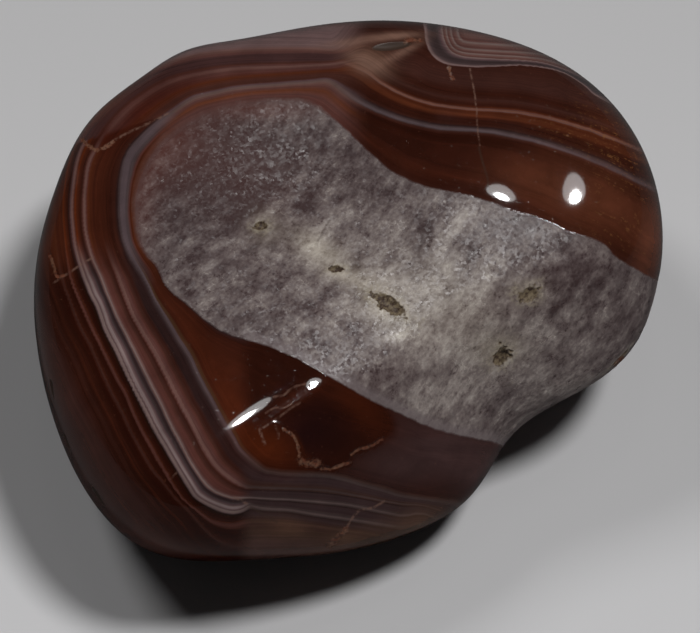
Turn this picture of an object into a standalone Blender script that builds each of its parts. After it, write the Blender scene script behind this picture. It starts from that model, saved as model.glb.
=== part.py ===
"""A tumble-polished agate: one pebble of banded chalcedony round a grey quartz heart, 52 mm wide.

The pebble is drawn in its face frame, whose u runs right, v up across the face and w out of it,
and then leans back onto the ground. Sizes are in millimetres until they are turned into metres.
"""

import math

import bmesh
import bpy
from mathutils import Matrix, Vector

MM = 0.001

# How the face leans back from upright.
LEAN = math.radians(35.0)

# The outline of the face, anticlockwise from the right end, as (u, v).
OUTLINE = [
    (26.2, 4.1), (25.3, 10.0), (22.9, 14.6), (18.5, 18.6), (11.2, 21.5), (3.3, 22.5), (-3.7, 21.9),
    (-9.7, 20.8), (-13.3, 20.0), (-17.0, 17.7), (-21.0, 14.3), (-23.8, 8.8), (-25.4, 2.3),
    (-25.2, -4.9), (-23.4, -11.7), (-20.4, -17.4), (-15.9, -21.2), (-8.9, -22.0), (-0.8, -21.4),
    (6.1, -19.6), (10.3, -16.9), (13.1, -12.8), (16.9, -9.7), (21.3, -7.2), (23.4, -5.3), (25.5, -0.8),
]

# The rim is the widest line of the pebble. It leans by this much of v, the belly at its middle
# leans further, and the front and the back swell out from the rim.
RIM_SLOPE = -0.27
BELLY_SLOPE = -0.60
FRONT_SWELL = 22.0
BACK_SWELL = 14.8
FRONT_FULLNESS = 2.75
BACK_FULLNESS = 2.2

# Faces worn nearly flat: the direction each looks in (right, away, up) and its distance from the middle.
WORN_FACES = {
    "top": ((-0.15, -0.056, 1.0), 13.2),
    "ridge": ((0.084, -0.243, 1.0), 14.6),
    "front": ((0.60, -1.0, 0.63), 18.6),
}
EDGE_SHARPNESS = 15.0

# The softer quartz is worn into a trough, from the notch in the outline up across the face.
TROUGH_FROM = (13.5, -12.5)
TROUGH_TO = (-2.8, 9.0)
TROUGH_DEPTH = 1.5
TROUGH_WIDTH = 5.4
TROUGH_FADE = 8.0

# The pebble stands on a small flat this far below its middle, and its middle stands at this
# place (right, away) so that the box round the pebble is centred over the origin.
FLAT_BELOW_MIDDLE = 12.23
MIDDLE_OVER_ORIGIN = (-0.3, 0.5)

# The starting cube has this many cuts along each edge, and is subdivided once more at the end.
CAGE_CUTS = 11
SMOOTH_LEVELS = 1

# Hollows in the polished skin: place (u, v), half length, half width, depth, turn in degrees.
# Each is cut by a ball whose half height is BALL_HEIGHT times the depth of the cut.
HOLLOWS = {
    "chip": ((-1.4, -11.0), 4.6, 3.9, 1.25, 36.0),
    "vug_right": ((12.6, -5.5), 0.95, 0.70, 0.9, 60.0),
    "vug_seam": ((3.6, -1.2), 1.50, 0.60, 0.7, -40.0),
    "vug_left": ((-6.8, 5.2), 0.55, 0.45, 0.6, 20.0),
    "vug_middle": ((-0.7, 1.7), 0.60, 0.35, 0.5, 0.0),
    "vug_shallow": ((14.8, -0.4), 0.85, 0.60, 0.45, 20.0),
    "slit": ((3.6, 20.0), 2.30, 0.40, 0.6, 3.0),
    "pit_high": ((-23.6, -8.0), 0.80, 0.40, 0.4, -75.0),
    "pit_middle": ((-22.4, -12.3), 0.90, 0.45, 0.4, -65.0),
    "pit_low": ((-19.8, -16.6), 0.90, 0.45, 0.4, -50.0),
    "nick": ((22.6, -5.6), 1.00, 0.40, 0.4, 35.0),
}
BALL_HEIGHT = 2.2
GROUND_BLOCK = 70.0

CHALCEDONY_COLOUR = (0.105, 0.036, 0.022, 1.0)
CHALCEDONY_ROUGHNESS = 0.08


def clear_scene():
    for thing in list(bpy.data.objects):
        bpy.data.objects.remove(thing)


def new_collection(name):
    collection = bpy.data.collections.new(name)
    bpy.context.scene.collection.children.link(collection)
    return collection


def face_direction(right, away, up):
    """Turn a direction of the standing pebble into its face frame."""
    return (Matrix.Rotation(-LEAN, 3, "X") @ Vector((right, away, up))).normalized()


def slopes_of_closed_curve(steps, rises):
    """Slopes that make a closed cubic curve bend evenly, found by relaxing them in turn."""
    count = len(steps)
    slopes = [rises[i] for i in range(count)]
    for _ in range(60):
        for i in range(count):
            before, after = steps[i - 1], steps[i]
            push = 3.0 * (after * rises[i - 1] + before * rises[i])
            pull = after * slopes[i - 1] + before * slopes[(i + 1) % count]
            slopes[i] = (push - pull) / (2.0 * (before + after))
    return slopes


def make_reach(outline):
    """Return a function of the angle that gives the outline's distance from its middle."""
    polar = sorted((math.atan2(v, u) % math.tau, math.hypot(u, v)) for u, v in outline)
    angles = [angle for angle, _ in polar]
    radii = [radius for _, radius in polar]
    count = len(polar)
    steps = [(angles[(i + 1) % count] - angles[i]) % math.tau for i in range(count)]
    rises = [(radii[(i + 1) % count] - radii[i]) / steps[i] for i in range(count)]
    slopes = slopes_of_closed_curve(steps, rises)

    def reach(angle):
        angle %= math.tau
        i = max((k for k in range(count) if angles[k] <= angle), default=count - 1)
        j = (i + 1) % count
        t = ((angle - angles[i]) % math.tau) / steps[i]
        start = (2 * t ** 3 - 3 * t ** 2 + 1) * radii[i] + (t ** 3 - 2 * t ** 2 + t) * steps[i] * slopes[i]
        end = (3 * t ** 2 - 2 * t ** 3) * radii[j] + (t ** 3 - t ** 2) * steps[i] * slopes[j]
        return start + end

    return reach


REACH = make_reach(OUTLINE)
FACES = [(face_direction(*look), distance) for look, distance in WORN_FACES.values()]


def swollen_outline(direction):
    """How far along a direction the unworn pebble reaches, as one over its distance."""
    u, v, w = direction
    across = math.hypot(u, v) / REACH(math.atan2(v, u))
    out = w - RIM_SLOPE * v
    swell, fullness = (FRONT_SWELL, FRONT_FULLNESS) if out > 0 else (BACK_SWELL, BACK_FULLNESS)
    rim_share = across ** fullness
    if out < 0:
        nearness = rim_share / (rim_share + (-out / swell) ** fullness)
        slope = BELLY_SLOPE + (RIM_SLOPE - BELLY_SLOPE) * nearness
        out = min(w - slope * v, 0.0)
    return (rim_share + (abs(out) / swell) ** fullness) ** (1.0 / fullness)


def trough_depth(point):
    """How deep the quartz is worn at a point of the front."""
    start, end = Vector(TROUGH_FROM), Vector(TROUGH_TO)
    along = end - start
    place = Vector((point.x, point.y))
    t = min(max((place - start).dot(along) / along.length_squared, 0.0), 1.0)
    aside = (place - start - along * t).length
    front = min(max((point.z - RIM_SLOPE * point.y) / TROUGH_FADE, 0.0), 1.0)
    front = front * front * (3.0 - 2.0 * front)
    return front * TROUGH_DEPTH * math.exp(-aside ** 2 / (2.0 * TROUGH_WIDTH ** 2))


def pebble_radius(direction):
    """Distance from the middle to the worn surface along a unit direction of the face frame."""
    total = swollen_outline(direction) ** EDGE_SHARPNESS
    for look, distance in FACES:
        total += max(0.0, direction.dot(look) / distance) ** EDGE_SHARPNESS
    radius = total ** (-1.0 / EDGE_SHARPNESS)
    return radius - trough_depth(direction * radius)


def front_point(u, v):
    """The point of the front surface that lies over (u, v)."""
    low = RIM_SLOPE * v
    high = low + 2.0 * FRONT_SWELL
    for _ in range(40):
        middle = 0.5 * (low + high)
        point = Vector((u, v, middle))
        if point.length <= pebble_radius(point.normalized()):
            low = middle
        else:
            high = middle
    return Vector((u, v, low))


def front_normal(u, v, step=0.15):
    """The outward direction of the front surface over (u, v)."""
    rise_u = front_point(u + step, v).z - front_point(u - step, v).z
    rise_v = front_point(u, v + step).z - front_point(u, v - step).z
    return Vector((-rise_u, -rise_v, 2.0 * step)).normalized()


def stand(thing):
    """Lean a thing that is drawn in the face frame back over the ground."""
    middle = Vector((*MIDDLE_OVER_ORIGIN, FLAT_BELOW_MIDDLE)) * MM
    thing.matrix_world = Matrix.Translation(middle) @ Matrix.Rotation(LEAN, 4, "X")


def make_material(name, colour, roughness):
    material = bpy.data.materials.new(name)
    material.use_nodes = True
    shader = material.node_tree.nodes["Principled BSDF"]
    shader.inputs["Base Color"].default_value = colour
    shader.inputs["Roughness"].default_value = roughness
    shader.inputs["Metallic"].default_value = 0.0
    return material


def make_pebble(collection):
    """The pebble: a finely cut cube drawn out to the worn surface, then smoothed."""
    mesh = bpy.data.meshes.new("agate")
    cage = bmesh.new()
    bmesh.ops.create_cube(cage, size=2.0)
    bmesh.ops.subdivide_edges(cage, edges=cage.edges[:], cuts=CAGE_CUTS, use_grid_fill=True)
    for vert in cage.verts:
        spread = Vector(math.tan(c * math.pi / 4.0) for c in vert.co)
        direction = spread.normalized()
        vert.co = direction * pebble_radius(direction) * MM
    cage.to_mesh(mesh)
    cage.free()
    mesh.shade_smooth()
    pebble = bpy.data.objects.new("agate", mesh)
    collection.objects.link(pebble)
    stand(pebble)
    smooth = pebble.modifiers.new("Smooth", "SUBSURF")
    smooth.levels = SMOOTH_LEVELS
    smooth.render_levels = SMOOTH_LEVELS
    pebble.data.materials.append(make_material("chalcedony", CHALCEDONY_COLOUR, CHALCEDONY_ROUGHNESS))
    return pebble


def add_cutter(pebble, cutter, collection):
    collection.objects.link(cutter)
    cutter.hide_render = True
    cutter.display_type = "WIRE"
    cut = pebble.modifiers.new("Cut " + cutter.name, "BOOLEAN")
    cut.operation = "DIFFERENCE"
    cut.solver = "EXACT"
    cut.object = cutter


def make_hollow(name, place, half_length, half_width, depth, turn):
    """A scoop whose rim has the given size and whose floor lies the given depth under the skin."""
    mesh = bpy.data.meshes.new(name)
    ball = bmesh.new()
    bmesh.ops.create_icosphere(ball, subdivisions=2, radius=1.0)
    half_height = depth * BALL_HEIGHT
    rim = math.sqrt(1.0 - (1.0 - 1.0 / BALL_HEIGHT) ** 2)
    stretch = Matrix.Diagonal((half_length / rim, half_width / rim, half_height))
    normal = front_normal(*place)
    along = Vector((math.cos(math.radians(turn)), math.sin(math.radians(turn)), 0.0))
    along = (along - normal * along.dot(normal)).normalized()
    axes = Matrix((along, normal.cross(along), normal)).transposed()
    centre = front_point(*place) + normal * (half_height - depth)
    for vert in ball.verts:
        vert.co = (centre + axes @ stretch @ vert.co) * MM
    ball.to_mesh(mesh)
    ball.free()
    hollow = bpy.data.objects.new(name, mesh)
    stand(hollow)
    return hollow


def make_ground_block():
    """A block whose top is the ground, to cut the small flat that the pebble stands on."""
    mesh = bpy.data.meshes.new("ground_block")
    block = bmesh.new()
    bmesh.ops.create_cube(block, size=GROUND_BLOCK * MM)
    bmesh.ops.translate(block, verts=block.verts[:], vec=(0.0, 0.0, -0.5 * GROUND_BLOCK * MM))
    block.to_mesh(mesh)
    block.free()
    return bpy.data.objects.new("ground_block", mesh)


def build():
    clear_scene()
    parts = new_collection("polished agate")
    cutters = new_collection("cutters")
    pebble = make_pebble(parts)
    for name, sizes in HOLLOWS.items():
        add_cutter(pebble, make_hollow(name, *sizes), cutters)
    add_cutter(pebble, make_ground_block(), cutters)
    pebble.data.set_sharp_from_angle(angle=math.radians(40.0))


build()
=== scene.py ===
"""A polished agate pebble on a pale floor, seen from 55 degrees above the ground.

Sizes are in millimetres until they are turned into metres. The pebble is drawn in its face frame,
whose u runs right, v up across the face and w out of it towards the viewer.
"""

import math

import bpy
import numpy as np
from mathutils import Matrix, Vector, noise


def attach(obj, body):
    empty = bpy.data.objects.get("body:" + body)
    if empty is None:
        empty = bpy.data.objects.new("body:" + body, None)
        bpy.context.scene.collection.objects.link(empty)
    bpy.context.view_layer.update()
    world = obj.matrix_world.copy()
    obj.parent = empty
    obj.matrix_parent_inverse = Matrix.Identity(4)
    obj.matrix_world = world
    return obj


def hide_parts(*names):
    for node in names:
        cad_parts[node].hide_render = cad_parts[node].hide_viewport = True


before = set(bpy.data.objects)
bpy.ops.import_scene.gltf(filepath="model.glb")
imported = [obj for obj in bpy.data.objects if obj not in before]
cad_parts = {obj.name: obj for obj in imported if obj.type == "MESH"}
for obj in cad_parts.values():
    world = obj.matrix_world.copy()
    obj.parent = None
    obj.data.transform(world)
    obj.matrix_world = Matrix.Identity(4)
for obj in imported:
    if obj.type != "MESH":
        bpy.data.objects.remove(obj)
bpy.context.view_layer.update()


# The pebble is one tumbled nodule of agate. Red-brown chalcedony grew in thin bands on the wall of
# a hole in lava, and coarse grey quartz closed the heart. Tumbling rounded and polished it, but for
# an old chip, a few pits and the healed cracks that cross the bands.

MM = 0.001
LEAN = math.radians(35.0)
FACE_TO_WORLD = np.array(Matrix.Rotation(LEAN, 3, "X"))
FLAT_BELOW_MIDDLE = 12.23
MIDDLE_OVER_ORIGIN = (-0.3, 0.5)

# The outline of the face, anticlockwise from the right end, as (u, v).
OUTLINE = [
    (26.2, 4.1), (25.3, 10.0), (22.9, 14.6), (18.5, 18.6), (11.2, 21.5), (3.3, 22.5), (-3.7, 21.9),
    (-9.7, 20.8), (-13.3, 20.0), (-17.0, 17.7), (-21.0, 14.3), (-23.8, 8.8), (-25.4, 2.3),
    (-25.2, -4.9), (-23.4, -11.7), (-20.4, -17.4), (-15.9, -21.2), (-8.9, -22.0), (-0.8, -21.4),
    (6.1, -19.6), (10.3, -16.9), (13.1, -12.8), (16.9, -9.7), (21.3, -7.2), (23.4, -5.3), (25.5, -0.8),
]

# The rim is the widest line. The front and the back swell out from it, and the belly leans more.
RIM_SLOPE = -0.27
BELLY_SLOPE = -0.60
FRONT_SWELL = 22.0
BACK_SWELL = 14.8
FRONT_FULLNESS = 2.75
BACK_FULLNESS = 2.2

# Faces worn nearly flat: the direction each looks in (right, away, up) and its distance from the middle.
WORN_FACES = [
    ((-0.15, -0.056, 1.0), 13.2),
    ((0.084, -0.243, 1.0), 14.6),
    ((0.60, -1.0, 0.63), 18.6),
]
EDGE_SHARPNESS = 15.0

# The softer quartz is worn into a trough, from the notch in the outline up across the face.
TROUGH_FROM = np.array((13.5, -12.5))
TROUGH_TO = np.array((-2.8, 9.0))
TROUGH_DEPTH = 1.5
TROUGH_WIDTH = 5.4
TROUGH_FADE = 8.0


def ease(low, high, value):
    """Rise smoothly from 0 at low to 1 at high."""
    share = np.clip((value - low) / (high - low), 0.0, 1.0)
    return share * share * (3.0 - 2.0 * share)


def slopes_of_closed_curve(steps, rises):
    """Slopes that make a closed cubic curve bend evenly, found by relaxing them in turn."""
    count = len(steps)
    slopes = [rises[i] for i in range(count)]
    for _ in range(60):
        for i in range(count):
            before, after = steps[i - 1], steps[i]
            push = 3.0 * (after * rises[i - 1] + before * rises[i])
            pull = after * slopes[i - 1] + before * slopes[(i + 1) % count]
            slopes[i] = (push - pull) / (2.0 * (before + after))
    return slopes


polar = sorted((math.atan2(v, u) % math.tau, math.hypot(u, v)) for u, v in OUTLINE)
knot_angles = np.array([angle for angle, _ in polar])
knot_radii = np.array([radius for _, radius in polar])
knot_steps = (np.roll(knot_angles, -1) - knot_angles) % math.tau
knot_rises = (np.roll(knot_radii, -1) - knot_radii) / knot_steps
knot_slopes = np.array(slopes_of_closed_curve(knot_steps, knot_rises))


def reach(angles):
    """The outline's distance from its middle at each angle."""
    angles = angles % math.tau
    i = np.searchsorted(knot_angles, angles, side="right") - 1
    j = (i + 1) % len(knot_angles)
    step = knot_steps[i]
    t = ((angles - knot_angles[i]) % math.tau) / step
    start = (2 * t**3 - 3 * t**2 + 1) * knot_radii[i] + (t**3 - 2 * t**2 + t) * step * knot_slopes[i]
    end = (3 * t**2 - 2 * t**3) * knot_radii[j] + (t**3 - t**2) * step * knot_slopes[j]
    return start + end


def into_face_frame(points):
    """Turn directions of the standing pebble into its face frame."""
    return points @ FACE_TO_WORLD


def worn_radius(directions):
    """Distance from the middle to the worn surface along each unit direction of the face frame."""
    u, v, w = directions.T
    across = np.hypot(u, v) / reach(np.arctan2(v, u))
    out = w - RIM_SLOPE * v
    front = out > 0.0
    swell = np.where(front, FRONT_SWELL, BACK_SWELL)
    fullness = np.where(front, FRONT_FULLNESS, BACK_FULLNESS)
    rim_share = across**fullness
    nearness = rim_share / (rim_share + (np.abs(out) / swell) ** fullness)
    slope = BELLY_SLOPE + (RIM_SLOPE - BELLY_SLOPE) * nearness
    out = np.where(front, out, np.minimum(w - slope * v, 0.0))
    total = (rim_share + (np.abs(out) / swell) ** fullness) ** (EDGE_SHARPNESS / fullness)
    for look, distance in WORN_FACES:
        facing = into_face_frame(np.array(look) / np.linalg.norm(look))
        total += np.maximum(0.0, directions @ facing / distance) ** EDGE_SHARPNESS
    radius = total ** (-1.0 / EDGE_SHARPNESS)
    place = directions * radius[:, None]
    along = TROUGH_TO - TROUGH_FROM
    t = np.clip((place[:, :2] - TROUGH_FROM) @ along / (along @ along), 0.0, 1.0)
    aside = np.linalg.norm(place[:, :2] - TROUGH_FROM - t[:, None] * along, axis=1)
    fade = ease(0.0, TROUGH_FADE, place[:, 2] - RIM_SLOPE * place[:, 1])
    return radius - fade * TROUGH_DEPTH * np.exp(-(aside**2) / (2.0 * TROUGH_WIDTH**2))


def unit(vectors):
    return vectors / np.linalg.norm(vectors, axis=-1, keepdims=True)


def read_points(thing):
    points = np.empty(len(thing.data.vertices) * 3)
    thing.data.vertices.foreach_get("co", points)
    return points.reshape(-1, 3)


def write_points(thing, points):
    thing.data.vertices.foreach_set("co", points.ravel())
    thing.data.update()


# Where a point of the stone shows in the photograph, which is 700 x 633 pixels: the pebble's middle
# is at MIDDLE_PIXEL, and the camera looks at it along -w from VIEWING_DISTANCE.
PICTURE_SIZE = (700, 633)
PEBBLE_WIDTH = 52.0
PEBBLE_WIDTH_PIXELS = 629.0
MIDDLE_PIXEL = np.array((345.0, 290.0))
MM_PER_PIXEL = PEBBLE_WIDTH / PEBBLE_WIDTH_PIXELS
VIEWING_DISTANCE = 450.0


def seen_at(points):
    """The pixels of the photograph where points of the face frame show."""
    scale = VIEWING_DISTANCE / (VIEWING_DISTANCE - points[:, 2]) / MM_PER_PIXEL
    return MIDDLE_PIXEL + points[:, :2] * scale[:, None] * (1.0, -1.0)


def smooth_line(corners, closed, steps=4):
    """A smooth curve through the corners, as a list of points."""
    corners = np.array(corners, float)
    if closed:
        before, after, later = (np.roll(corners, shift, axis=0) for shift in (1, -1, -2))
        starts = corners
    else:
        padded = np.vstack((2 * corners[0] - corners[1], corners, 2 * corners[-1] - corners[-2]))
        before, starts, after, later = padded[:-3], padded[1:-2], padded[2:-1], padded[3:]
    curve = []
    for p, q, r, s in zip(before, starts, after, later):
        for t in np.arange(steps) / steps:
            bend = (2 * p - 5 * q + 4 * r - s) * t**2 + (3 * q - p - 3 * r + s) * t**3
            curve.append(0.5 * (2 * q + (r - p) * t + bend))
    if not closed:
        curve.append(corners[-1])
    return np.array(curve)


def distance_to_line(pixels, corners):
    """Distance in mm of each pixel from an open line."""
    curve = smooth_line(corners, closed=False)
    nearest = np.full(len(pixels), np.inf)
    for start, end in zip(curve, curve[1:]):
        edge = end - start
        offset = pixels - start
        along = np.clip(offset @ edge / (edge @ edge), 0.0, 1.0)
        nearest = np.minimum(nearest, np.hypot(*(offset - along[:, None] * edge).T))
    return nearest * MM_PER_PIXEL


def distance_outside(pixels, corners):
    """Distance in mm of each pixel from a closed line, negative inside it."""
    curve = smooth_line(corners, closed=True)
    nearest = np.full(len(pixels), np.inf)
    inside = np.zeros(len(pixels), bool)
    for start, end in zip(curve, np.roll(curve, -1, axis=0)):
        edge = end - start
        offset = pixels - start
        along = np.clip(offset @ edge / (edge @ edge), 0.0, 1.0)
        nearest = np.minimum(nearest, np.hypot(*(offset - along[:, None] * edge).T))
        if start[1] != end[1]:
            spans = (start[1] > pixels[:, 1]) != (end[1] > pixels[:, 1])
            crossing = start[0] + offset[:, 1] * edge[0] / edge[1]
            inside ^= spans & (pixels[:, 0] < crossing)
    return np.where(inside, -nearest, nearest) * MM_PER_PIXEL


# Lines traced along the bands, in pixels of the photograph. Each is closed outside the stone.
# From the heart outwards: the edge of the quartz, then a grey, a pink, a white, a chalk and two
# russet lines, all of which run down the left flank and round under the chip.
HEART_EDGE = [
    (309, 102), (331, 117), (349, 133), (370, 153), (394, 173), (430, 188), (470, 196), (507, 209),
    (540, 219), (570, 232), (600, 242), (618, 259), (640, 272), (672, 292), (700, 340), (650, 420),
    (560, 480), (504, 447), (480, 440), (439, 431), (395, 412), (375, 403), (345, 386), (320, 372),
    (300, 360), (275, 349), (250, 341), (225, 333), (205, 320), (188, 305), (167, 287), (157, 267),
    (147, 255), (139, 240), (136, 220), (136, 200), (141, 179), (152, 156), (167, 138), (190, 122),
    (212, 112), (246, 103), (279, 100),
]
GREY_LINE = [
    (330, 81), (351, 97), (366, 106), (400, 120), (440, 129), (487, 132), (540, 143), (578, 156),
    (609, 168), (653, 190), (700, 215), (760, 320), (720, 450), (600, 530), (500, 512), (440, 503),
    (400, 497), (380, 491), (340, 480), (320, 477), (291, 476), (274, 474), (261, 470), (240, 450),
    (229, 431), (215, 407), (203, 385), (190, 358), (177, 337), (156, 301), (143, 274), (129, 250),
    (124, 230), (122, 200), (127, 160), (140, 140), (162, 120), (190, 100), (205, 95), (238, 88),
    (270, 85), (310, 82),
]
PINK_LINE = [
    (350, 67), (420, 44), (560, -10), (700, -50), (900, 200), (880, 500), (700, 620), (560, 560),
    (440, 511), (400, 505), (360, 498), (330, 493), (300, 491), (262, 490), (243, 488), (218, 470),
    (204, 450), (192, 426), (181, 407), (167, 379), (157, 359), (146, 340), (134, 320), (126, 300),
    (119, 280), (111, 259), (105, 240), (102, 220), (101, 200), (102, 180), (106, 165), (113, 150),
    (124, 135), (140, 119), (158, 105), (178, 92), (205, 83), (240, 77), (280, 74), (320, 71),
]
WHITE_LINE = [
    (350, 60), (420, 34), (560, -40), (700, -90), (940, 200), (920, 520), (720, 660), (560, 590),
    (440, 520), (400, 516), (350, 506), (320, 503), (291, 501), (271, 500), (252, 499), (238, 499),
    (229, 498), (211, 490), (195, 470), (184, 450), (172, 428), (164, 410), (154, 390), (144, 370),
    (134, 350), (124, 330), (114, 310), (102, 280), (96, 267), (91, 255), (86, 236), (84, 213),
    (85, 187), (88, 165), (97, 147), (108, 128), (122, 112), (140, 97), (165, 82), (190, 74),
    (225, 68), (260, 66), (300, 65),
]
CHALK_LINE = [
    (350, 53), (420, 24), (560, -70), (700, -130), (980, 200), (960, 540), (740, 700), (560, 620),
    (440, 531), (400, 528), (350, 520), (320, 516), (292, 511), (274, 510), (262, 509), (250, 507),
    (243, 511), (233, 513), (220, 510), (199, 500), (191, 490), (179, 470), (167, 450), (155, 430),
    (145, 410), (134, 390), (125, 370), (116, 350), (106, 330), (98, 306), (92, 295), (82, 270),
    (77, 253), (74, 238), (72, 215), (72, 198), (75, 172), (80, 152), (90, 133), (104, 114),
    (120, 98), (140, 84), (165, 71), (195, 63), (230, 58), (270, 56), (310, 55),
]
RUSSET_LINE = [
    (350, 48), (420, 14), (560, -100), (700, -160), (1010, 200), (1000, 560), (760, 740), (560, 650),
    (440, 545), (400, 540), (350, 532), (300, 525), (250, 522), (233, 526), (213, 523), (197, 512),
    (185, 503), (175, 490), (163, 470), (152, 450), (141, 430), (132, 410), (126, 393), (118, 381),
    (107, 360), (99, 344), (84, 312), (73, 286), (68, 262), (65, 240), (63, 215), (64, 190),
    (68, 165), (74, 148), (85, 128), (100, 108), (118, 91), (140, 76), (165, 64), (195, 55),
    (230, 51), (270, 49), (310, 49),
]
OUTER_LINE = [
    (350, 40), (420, 4), (560, -130), (700, -190), (1040, 200), (1030, 580), (780, 780), (560, 680),
    (440, 556), (400, 552), (350, 548), (300, 548), (250, 548), (225, 545), (205, 530), (191, 513),
    (176, 498), (164, 483), (150, 465), (131, 430), (123, 413), (109, 386), (92, 347), (80, 324),
    (71, 300), (62, 275), (58, 250), (56, 220), (57, 190), (62, 165), (69, 145), (80, 124),
    (96, 103), (115, 86), (140, 70), (165, 58), (195, 49), (230, 44), (270, 42), (310, 42),
]
LEFT_FAMILY = {
    "heart": HEART_EDGE, "grey": GREY_LINE, "pink": PINK_LINE, "white": WHITE_LINE, "chalk": CHALK_LINE,
    "russet": RUSSET_LINE, "outer": OUTER_LINE,
}

# On the right the salmon line runs above the grey one, and above that lies an eye: bands of their
# own round a second centre, outside the top edge.
SALMON_LINE = [
    (366, 71), (380, 82), (403, 94), (433, 104), (470, 109), (517, 112), (560, 121), (599, 133),
    (639, 149), (700, 170), (800, 300), (760, 480), (620, 580), (500, 530), (440, 520), (350, 515),
    (240, 505), (190, 465), (140, 370), (100, 280), (88, 200), (95, 155), (120, 120), (160, 88),
    (205, 74), (250, 66), (300, 62), (340, 62),
]
EYE_EDGE = [
    (424, 20), (425, 32), (426, 41), (429, 50), (434, 57), (441, 62), (450, 65), (460, 66),
    (475, 67), (500, 66), (520, 65), (540, 67), (556, 70), (570, 76), (585, 86), (600, 98),
    (640, 110), (640, 40), (560, -20), (480, -30), (430, 0),
]
EYE_HEART = [
    (442, 10), (442, 25), (443, 36), (446, 45), (451, 52), (459, 56), (470, 58), (500, 60),
    (520, 61), (540, 63), (556, 67), (575, 74), (600, 85), (640, 90), (640, 40), (560, -20), (480, -30),
]
CHIP_RIM = [
    (262, 428), (278, 413), (300, 400), (330, 384), (358, 392), (384, 410), (392, 428), (382, 441),
    (366, 450), (352, 458), (345, 466), (330, 471), (318, 462), (306, 456), (302, 446), (296, 436),
    (285, 429), (272, 425),
]

# Start from a cube, cut fine, with its points drawn towards the front, which has the most detail.
STONE_CUTS = 100
FRONT_DENSITY = 0.35

bpy.ops.object.select_all(action="DESELECT")
bpy.ops.mesh.primitive_cube_add(size=2.0, calc_uvs=False)
pebble = bpy.context.active_object
pebble.name = "polished_agate"
pebble.data.name = "polished_agate"
bpy.ops.object.mode_set(mode="EDIT")
bpy.ops.mesh.select_all(action="SELECT")
bpy.ops.mesh.subdivide(number_cuts=STONE_CUTS)
bpy.ops.object.mode_set(mode="OBJECT")

directions = unit(np.tan(read_points(pebble) * math.pi / 4.0))
directions = unit(directions + np.array((0.0, 0.0, FRONT_DENSITY)))
write_points(pebble, directions * worn_radius(directions)[:, None])

# Thin healed cracks, scratches and streaks: (line of pixels, half width in pixels).
PALE_MARKS = [
    ([(98, 150), (106, 146), (117, 139), (130, 132), (147, 124), (158, 119), (168, 114)], 1.7),
    ([(54, 283), (62, 278), (71, 272), (80, 266), (93, 258)], 1.5),
    ([(470, 69), (473, 85), (475, 96), (476, 106)], 1.2),
    ([(477, 108), (477, 120), (478, 132), (480, 146)], 1.1),
    ([(384, 502), (378, 506), (371, 509), (360, 511), (355, 516), (351, 521), (346, 530)], 1.8),
    ([(262, 430), (272, 423), (281, 417), (290, 410), (300, 404)], 1.5),
    ([(266, 414), (275, 409), (284, 409), (292, 405)], 1.2),
    ([(274, 398), (284, 396), (290, 391), (297, 387), (306, 385)], 1.5),
    ([(260, 431), (262, 438), (265, 445)], 2.2),
    ([(275, 427), (278, 432), (279, 439)], 1.6),
    ([(171, 480), (174, 477), (177, 474)], 1.2),
    ([(233, 498), (238, 500), (247, 505)], 2.0),
]
DARK_MARKS = [
    ([(479, 148), (482, 160), (485, 170), (488, 181), (488, 194)], 1.8),
    ([(318, 241), (322, 234), (326, 226), (331, 218)], 1.8),
    ([(251, 508), (261, 514), (270, 519), (277, 523)], 2.2),
]
# Rough rusty or chalky crusts on the cracks and on the chip's rim, in the same way.
CRUSTS = [
    ([(82, 140), (88, 146), (97, 150), (106, 147), (114, 142)], 2.8),
    ([(50, 256), (54, 267), (57, 277), (64, 276)], 2.2),
    ([(406, 41), (413, 40), (420, 41)], 3.4),
    ([(449, 68), (450, 74), (453, 79)], 3.0),
    ([(302, 463), (311, 465), (318, 465)], 5.5),
    ([(322, 470), (332, 470), (343, 466), (351, 464)], 2.2),
    ([(352, 456), (358, 451), (366, 449), (374, 446), (383, 440)], 2.0),
    ([(284, 431), (291, 435), (296, 441), (299, 450), (300, 458)], 2.4),
    ([(346, 530), (341, 536), (335, 541), (330, 546)], 4.2),
    ([(616, 366), (624, 359)], 2.4),
]
FINE_STRIP = 0.3

# Hollows, as in the solid: place (u, v), half length, half width, depth, turn in degrees.
HOLLOWS = {
    "vug_right": ((12.6, -5.5), 0.95, 0.70, 0.9, 60.0),
    "vug_seam": ((3.6, -1.2), 1.50, 0.60, 0.7, -40.0),
    "vug_left": ((-6.8, 5.2), 0.55, 0.45, 0.6, 20.0),
    "vug_middle": ((-0.7, 1.7), 0.60, 0.35, 0.5, 0.0),
    "vug_shallow": ((14.8, -0.4), 0.85, 0.60, 0.45, 20.0),
    "slit": ((3.8, 20.0), 1.60, 0.45, 0.5, 3.0),
    "pit_high": ((-23.6, -8.0), 0.80, 0.40, 0.4, -75.0),
    "pit_middle": ((-22.4, -12.3), 0.90, 0.45, 0.4, -65.0),
    "pit_low": ((-19.8, -16.6), 0.90, 0.45, 0.4, -50.0),
    "nick": ((22.6, -5.6), 1.00, 0.40, 0.4, 35.0),
}
FINE_MARGIN = 1.6
HOLLOW_REACH = 3.0
FAR_AWAY = 99.0


def front_point(u, v):
    """The point of the front surface that lies over (u, v)."""
    low, high = RIM_SLOPE * v, RIM_SLOPE * v + 2.0 * FRONT_SWELL
    for _ in range(40):
        middle = 0.5 * (low + high)
        point = np.array(((u, v, middle),))
        size = np.linalg.norm(point)
        low, high = (middle, high) if size <= worn_radius(point / size)[0] else (low, middle)
    return np.array((u, v, low))


def front_normal(u, v, step=0.15):
    """The outward direction of the front surface over (u, v)."""
    rise_u = front_point(u + step, v)[2] - front_point(u - step, v)[2]
    rise_v = front_point(u, v + step)[2] - front_point(u, v - step)[2]
    return unit(np.array((-rise_u, -rise_v, 2.0 * step)))


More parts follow.
